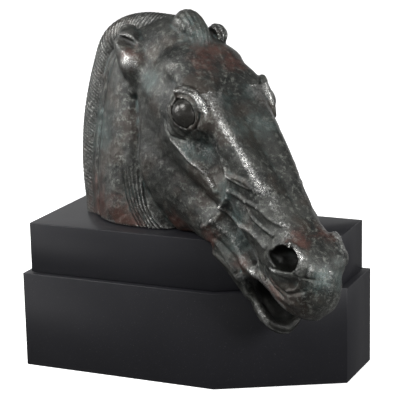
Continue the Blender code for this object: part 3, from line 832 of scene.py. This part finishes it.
def build_mane():
    """A band lofted along the crest of the neck, its ridges leaning down towards the neck."""
    line = mane_line(600)
    run = np.concatenate([[0], np.cumsum(np.linalg.norm(np.diff(line, axis=0), axis=1))])
    length = run[-1] * HEAD_LENGTH
    count = int(length / MANE_PITCH * RIDGE_STEPS)
    at = np.linspace(0, run[-1], count)
    centre = np.stack([np.interp(at, run, col) for col in line.T], 1)
    ahead = np.gradient(centre, axis=0)
    ahead /= np.linalg.norm(ahead, axis=1)[:, None]
    out = np.cross(ahead, np.array([0, 1.0, 0]))
    out /= np.linalg.norm(out, axis=1)[:, None]
    side = np.cross(out, ahead)
    turn = np.linspace(-pi, pi, ROUND_STEPS, endpoint=False)
    deep, wide = ((size + MANE_COVER) * HEAD_LENGTH for size in (MANE_DEPTH, MANE_HALF))
    lag = MANE_LEAN * deep * (1 - np.cos(turn))
    x = (at[:, None] * HEAD_LENGTH + lag[None, :]) / MANE_PITCH
    x = x + 0.22 * np.sin(x * 0.61) + 0.16 * np.sin(x * 0.37 + 2)
    depth = MANE_GROOVE * (0.75 + 0.25 * np.sin(x * 0.83))
    fade = np.clip((radians(118) - np.abs(turn)) / radians(25), 0, 1)[None, :]
    groove = depth * fade * (1 - np.sqrt(np.abs(np.sin(pi * x))))
    ends = np.sqrt(np.clip(np.minimum(at, run[-1] - at) / MANE_DEPTH, 0.02, 1))[:, None]
    back, across = ((size - groove) * ends * wave(turn)[None, :]
                    for size, wave in ((deep, np.cos), (wide, np.sin)))
    rings = centre[:, None] * HEAD_LENGTH
    rings = rings + back[..., None] * out[:, None] + across[..., None] * side[:, None]
    place = Matrix.Translation(NECK_FOOT) @ Matrix.Rotation(NECK_YAW, 4, "Z")
    bm = bmesh.new()
    verts = [[bm.verts.new(place @ Vector(p)) for p in ring] for ring in rings]
    for low, high in zip(verts, verts[1:]):
        for i in range(ROUND_STEPS):
            j = (i + 1) % ROUND_STEPS
            bm.faces.new((low[i], low[j], high[j], high[i]))
    bm.faces.new(verts[0][::-1])
    bm.faces.new(verts[-1])
    bmesh.ops.recalc_face_normals(bm, faces=bm.faces)
    obj = object_from(bm, "mane_ridges")
    crest = 1 - 2 * (groove / groove.max()).ravel()
    obj.data.attributes.new("fine_ridge", "FLOAT", "POINT").data.foreach_set("value", crest)
    obj.data.shade_smooth()
    return obj


def bevel(obj, width):
    mod = obj.modifiers.new("edge", "BEVEL")
    mod.width = width
    mod.segments = 3
    mod.limit_method = "ANGLE"
    mod.angle_limit = radians(30)
    mod.harden_normals = True
    bake(obj)
    obj.data.shade_smooth()


def build_tiers():
    levels = {"lower_tier": (0, 0, LOWER_TOP), "upper_tier": (STEP_INSET, UPPER_FOOT, PLINTH_TOP)}
    for name, (inset, foot, top) in levels.items():
        obj = stack(name, [(outline(inset), foot), (outline(inset), top)])
        bevel(obj, EDGE_BEVEL)
        yield obj


class Nodes:
    """Short calls for a material's nodes: sockets are given as values or as outputs."""

    def __init__(self, name):
        self.material = bpy.data.materials.new(name)
        self.material.use_nodes = True
        self.tree = self.material.node_tree
        self.tree.nodes.clear()
        self.place = self.add("ShaderNodeTexCoord").outputs["Object"]

    def add(self, kind, settings=None, **sockets):
        node = self.tree.nodes.new(kind)
        for key, value in (settings or {}).items():
            setattr(node, key, value)
        for key, value in sockets.items():
            self.put(node.inputs[key.replace("_", " ")], value)
        return node

    def put(self, socket, value):
        if isinstance(value, bpy.types.NodeSocket):
            self.tree.links.new(value, socket)
        else:
            socket.default_value = value

    def noise(self, scale, detail=4, roughness=0.6):
        return self.add("ShaderNodeTexNoise", Vector=self.place, Scale=scale, Detail=detail,
                        Roughness=roughness).outputs["Fac"]

    def ramp(self, value, low, high):
        """0 at low, 1 at high, smooth between; low above high turns it round."""
        node = self.add("ShaderNodeMapRange", {"interpolation_type": "SMOOTHSTEP"}, Value=value)
        for key, bound in (("From Min", min(low, high)), ("From Max", max(low, high)),
                           ("To Min", float(low > high)), ("To Max", float(low < high))):
            node.inputs[key].default_value = bound
        return node.outputs["Result"]

    def math(self, operation, a, b):
        node = self.add("ShaderNodeMath", {"operation": operation})
        self.put(node.inputs[0], a)
        self.put(node.inputs[1], b)
        return node.outputs[0]

    def mix(self, share, a, b):
        node = self.add("ShaderNodeMix", {"data_type": "RGBA"})
        self.put(node.inputs["Factor"], share)
        self.put(node.inputs["A"], a)
        self.put(node.inputs["B"], b)
        return node.outputs["Result"]

    def blend(self, share, a, b):
        node = self.add("ShaderNodeMix", {"data_type": "FLOAT"})
        self.put(node.inputs["Factor"], share)
        self.put(node.inputs["A"], a)
        self.put(node.inputs["B"], b)
        return node.outputs["Result"]

    def attribute(self, name):
        return self.add("ShaderNodeAttribute", {"attribute_name": name}).outputs["Fac"]

    def bump(self, height, strength, distance):
        node = self.add("ShaderNodeBump", Strength=strength, Distance=distance, Height=height)
        return node.outputs["Normal"]

    def finish(self, **sockets):
        shader = self.add("ShaderNodeBsdfPrincipled", None, **sockets)
        out = self.add("ShaderNodeOutputMaterial")
        self.tree.links.new(shader.outputs[0], out.inputs[0])
        return self.material


# Paint and patina colours, linear
PAINT_DARK = (0.0072, 0.0072, 0.0088, 1)
PAINT_LIGHT = (0.0108, 0.0108, 0.0132, 1)
PAINT_DUST = (0.09, 0.09, 0.09, 1)
BRONZE_DARK = (0.008, 0.009, 0.008, 1)
BRONZE_MID = (0.036, 0.037, 0.033, 1)
BRONZE_BROWN = (0.046, 0.030, 0.021, 1)
BRONZE_LIGHT = (0.135, 0.140, 0.124, 1)
# Worn metal, also the colour of painted highlights and sheen on ridges and rubbed lines
BRONZE_WORN_AND_HIGHLIGHT = (0.30, 0.30, 0.29, 1)
BRONZE_EYE = (0.020, 0.019, 0.017, 1)
VERDIGRIS = (0.065, 0.098, 0.094, 1)
RED_BROWN = (0.095, 0.034, 0.024, 1)
# Near black: painted shade in hollows and grooves, and dark pits
SHADE_AND_GRIME = (0.006, 0.006, 0.005, 1)


def bronze():
    n = Nodes("bronze_patina")
    fine, broad, rub_and_sheen, polish, shade = (
        n.attribute(name) for name in ("fine_ridge", "broad_ridge", "rub_and_sheen", "polish", "shade"))
    cloud = n.noise(26, 8, 0.70)
    mottle = n.noise(170, 8, 0.80)
    grain = n.noise(520, 4, 0.8)
    colour = n.mix(n.ramp(cloud, 0.40, 0.62), BRONZE_DARK, BRONZE_MID)
    tint = n.math("MULTIPLY", n.ramp(n.noise(21, 6, 0.6), 0.50, 0.60), 0.4)
    colour = n.mix(tint, colour, BRONZE_BROWN)
    light = n.math("MULTIPLY", n.ramp(mottle, 0.51, 0.62), 0.75)
    colour = n.mix(light, colour, BRONZE_LIGHT)
    bare = 1.0
    for name, paint, scale, share in (("red_patch", RED_BROWN, 70, 0.60),
                                      ("green_patch", VERDIGRIS, 95, 0.55)):
        patch = n.attribute(name)
        bare = n.math("SUBTRACT", bare, n.math("MULTIPLY", patch, 0.7))
        patch = n.math("ADD", patch, n.math("MULTIPLY", n.noise(scale, 8, 0.80), 3.0))
        colour = n.mix(n.math("MULTIPLY", n.ramp(patch, 1.75, 2.85), share), colour, paint)
    # Painted shade with grime: broad hollows turn darker.
    hollow = n.ramp(n.math("ADD", broad, n.math("MULTIPLY", cloud, 0.3)), 0.05, -0.35)
    colour = n.mix(n.math("MULTIPLY", hollow, n.math("MULTIPLY", bare, 0.85)), colour, SHADE_AND_GRIME)
    green_line = n.math("MULTIPLY", n.ramp(fine, -0.12, -0.6), n.ramp(n.noise(60, 5), 0.46, 0.60))
    # Painted shade with grime down in the fine grooves.
    colour = n.mix(n.math("MULTIPLY", n.ramp(fine, -0.20, -0.80), 0.75), colour, SHADE_AND_GRIME)
    colour = n.mix(n.math("MULTIPLY", green_line, 0.5), colour, VERDIGRIS)
    # Ridges turn bright with wear; the rubbed lines add painted highlights and sheen.
    ridge = n.math("ADD", n.math("MULTIPLY", fine, 0.42), n.math("MULTIPLY", broad, 0.15))
    ridge = n.math("ADD", ridge, n.math("MULTIPLY", rub_and_sheen, 0.42))
    ridge = n.math("ADD", ridge, n.math("MULTIPLY", n.noise(420, 6, 0.75), 2.0))
    ridge = n.math("SUBTRACT", ridge, n.math("MULTIPLY", shade, 0.5))
    worn_and_highlight = n.ramp(ridge, 1.26, 1.74)
    colour = n.mix(worn_and_highlight, colour, BRONZE_WORN_AND_HIGHLIGHT)
    # Painted shade inside the mouth and nostrils, in the mane's grooves and on the cheek and brow.
    colour = n.mix(n.math("MULTIPLY", shade, 0.85), colour, SHADE_AND_GRIME)
    pits = n.ramp(n.noise(760, 2, 0.5), 0.40, 0.32)
    colour = n.mix(n.math("MULTIPLY", pits, 0.8), colour, SHADE_AND_GRIME)
    colour = n.mix(n.math("MULTIPLY", polish, 0.85), colour, BRONZE_EYE)
    roughness = n.blend(worn_and_highlight, n.blend(grain, 0.16, 0.50), 0.24)
    roughness = n.blend(polish, roughness, 0.25)
    metal = n.blend(worn_and_highlight, 0.45, 0.95)
    rough_cast = n.math("SUBTRACT", 1.0, n.math("MULTIPLY", polish, 0.8))
    height = n.math("ADD", n.noise(75, 6, 0.6), n.math("MULTIPLY", mottle, 0.7))
    height = n.math("ADD", height, n.math("MULTIPLY", grain, 0.6))
    height = n.math("MULTIPLY", height, rough_cast)
    normal = n.bump(height, 0.7, 0.0012)
    return n.finish(Base_Color=colour, Metallic=metal, Roughness=roughness, Normal=normal)


def plinth_paint():
    n = Nodes("satin_black_paint")
    cloud = n.noise(14, 5, 0.6)
    dust = n.noise(700, 3, 0.6)
    colour = n.mix(cloud, PAINT_DARK, PAINT_LIGHT)
    colour = n.mix(n.math("MULTIPLY", n.ramp(dust, 0.62, 0.75), 0.35), colour, PAINT_DUST)
    roughness = n.blend(cloud, 0.36, 0.46)
    normal = n.bump(n.noise(260, 3), 0.10, 0.0002)
    return n.finish(Base_Color=colour, Roughness=roughness, Normal=normal, Specular_IOR_Level=0.20)


def floor_paper():
    n = Nodes("pale_paper")
    colour = n.mix(n.noise(3, 2), (0.90, 0.90, 0.90, 1), (0.93, 0.93, 0.93, 1))
    return n.finish(Base_Color=colour, Roughness=0.9, Emission_Color=(1, 1, 1, 1), Emission_Strength=0.6)


# Camera, as the photograph was taken
CAMERA_AZIMUTH = radians(24.38)
CAMERA_HEIGHT = radians(13.93)
CAMERA_ROLL = radians(-1.31)
CAMERA_DISTANCE = 1.919
CAMERA_TARGET = Vector((0, 0, 0.208))
CAMERA_LENS = 147.74
CAMERA_SHIFT = (0.0140, -0.0156)


def set_camera():
    a, e, r = CAMERA_AZIMUTH, CAMERA_HEIGHT, CAMERA_ROLL
    back = Vector((sin(a) * cos(e), -cos(a) * cos(e), sin(e)))
    right = Vector((cos(a), sin(a), 0))
    up = back.cross(right)
    across = right * cos(r) + up * sin(r)
    above = up * cos(r) - right * sin(r)
    data = bpy.data.cameras.new("camera")
    data.lens = CAMERA_LENS
    data.shift_x, data.shift_y = CAMERA_SHIFT
    camera = bpy.data.objects.new("camera", data)
    camera.matrix_world = (Matrix.Translation(CAMERA_TARGET + back * CAMERA_DISTANCE)
                           @ Matrix((across, above, back)).transposed().to_4x4())
    bpy.context.scene.collection.objects.link(camera)
    bpy.context.scene.camera = camera


def add_light(name, place, power, size):
    data = bpy.data.lights.new(name, "AREA")
    data.energy = power
    data.shape = "RECTANGLE"
    data.size, data.size_y = size
    light = bpy.data.objects.new(name, data)
    light.location = place
    light.rotation_euler = (AIM - Vector(place)).to_track_quat("-Z", "Y").to_euler()
    bpy.context.scene.collection.objects.link(light)


def add_sun(name, spread, strength):
    data = bpy.data.lights.new(name, "SUN")
    data.energy = strength
    data.angle = radians(spread)
    light = bpy.data.objects.new(name, data)
    bpy.context.scene.collection.objects.link(light)


# Studio: floor half size and drop in metres, and the world's grey by height, 0 below to 1 overhead
FLOOR_HALF = 60
FLOOR_DROP = 0.0005
AIM = Vector((0, 0, 0.2))
WORLD_SHADES = [(0.0, 0.22), (0.485, 0.22), (0.495, 1.0), (0.55, 1.0), (0.66, 0.22)]


def shade_world(tree):
    """White round the horizon, grey overhead and below."""
    place = tree.nodes.new("ShaderNodeTexCoord")
    height = tree.nodes.new("ShaderNodeSeparateXYZ")
    share = tree.nodes.new("ShaderNodeMapRange")
    share.inputs["From Min"].default_value = -1
    ramp = tree.nodes.new("ShaderNodeValToRGB")
    stops = ramp.color_ramp.elements
    while len(stops) < len(WORLD_SHADES):
        stops.new(1.0)
    for stop, (at, shade) in zip(stops, WORLD_SHADES):
        stop.position = at
        stop.color = (shade, shade, shade, 1)
    tree.links.new(place.outputs["Generated"], height.inputs[0])
    tree.links.new(height.outputs["Z"], share.inputs["Value"])
    tree.links.new(share.outputs["Result"], ramp.inputs["Fac"])
    tree.links.new(ramp.outputs["Color"], tree.nodes["Background"].inputs["Color"])


def set_studio():
    scene = bpy.context.scene
    scene.view_settings.view_transform = "Standard"
    world = bpy.data.worlds.new("studio")
    world.use_nodes = True
    shade_world(world.node_tree)
    scene.world = world
    add_sun("overhead", 40, 0.9)
    add_light("key", (-1.6, -0.6, 0.95), 22, (0.4, 0.7))
    add_light("sheen", (-0.75, -1.05, 1.6), 22, (0.5, 0.5))
    add_light("rim", (1.5, -0.6, 0.65), 30, (0.25, 0.6))
    add_light("front", (-0.4, -1.9, 1.5), 4, (0.4, 0.4))
    add_light("fill", (-1.7, -1.4, 0.12), 3, (0.9, 0.3))
    bm = bmesh.new()
    bmesh.ops.create_grid(bm, x_segments=1, y_segments=1, size=FLOOR_HALF)
    floor = object_from(bm, "floor")
    floor.location.z = -FLOOR_DROP
    floor.visible_diffuse = False
    floor.visible_glossy = False
    floor.data.materials.append(floor_paper())


def dress(obj, material, slot, *nodes):
    obj.data.materials.clear()
    obj.data.materials.append(material)
    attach(obj, "root")
    if nodes:
        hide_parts(*nodes)


def main():
    bpy.context.scene.collection.children.link(bpy.data.collections.new(COLLECTION))
    skin = build_skin()
    mark_wear(skin)
    patina = bronze()
    dress(skin, patina, "bronze", "horse_head")
    mane_ridges = build_mane()
    for obj in (*build_eyes(), mane_ridges):
        dress(obj, patina, "bronze")
    for obj in (skin, mane_ridges):
        mark_places(obj)
    paint = plinth_paint()
    for obj, node in zip(build_tiers(), ("plinth_lower", "plinth_upper")):
        dress(obj, paint, "plinth_paint", node)
    set_camera()
    set_studio()


main()
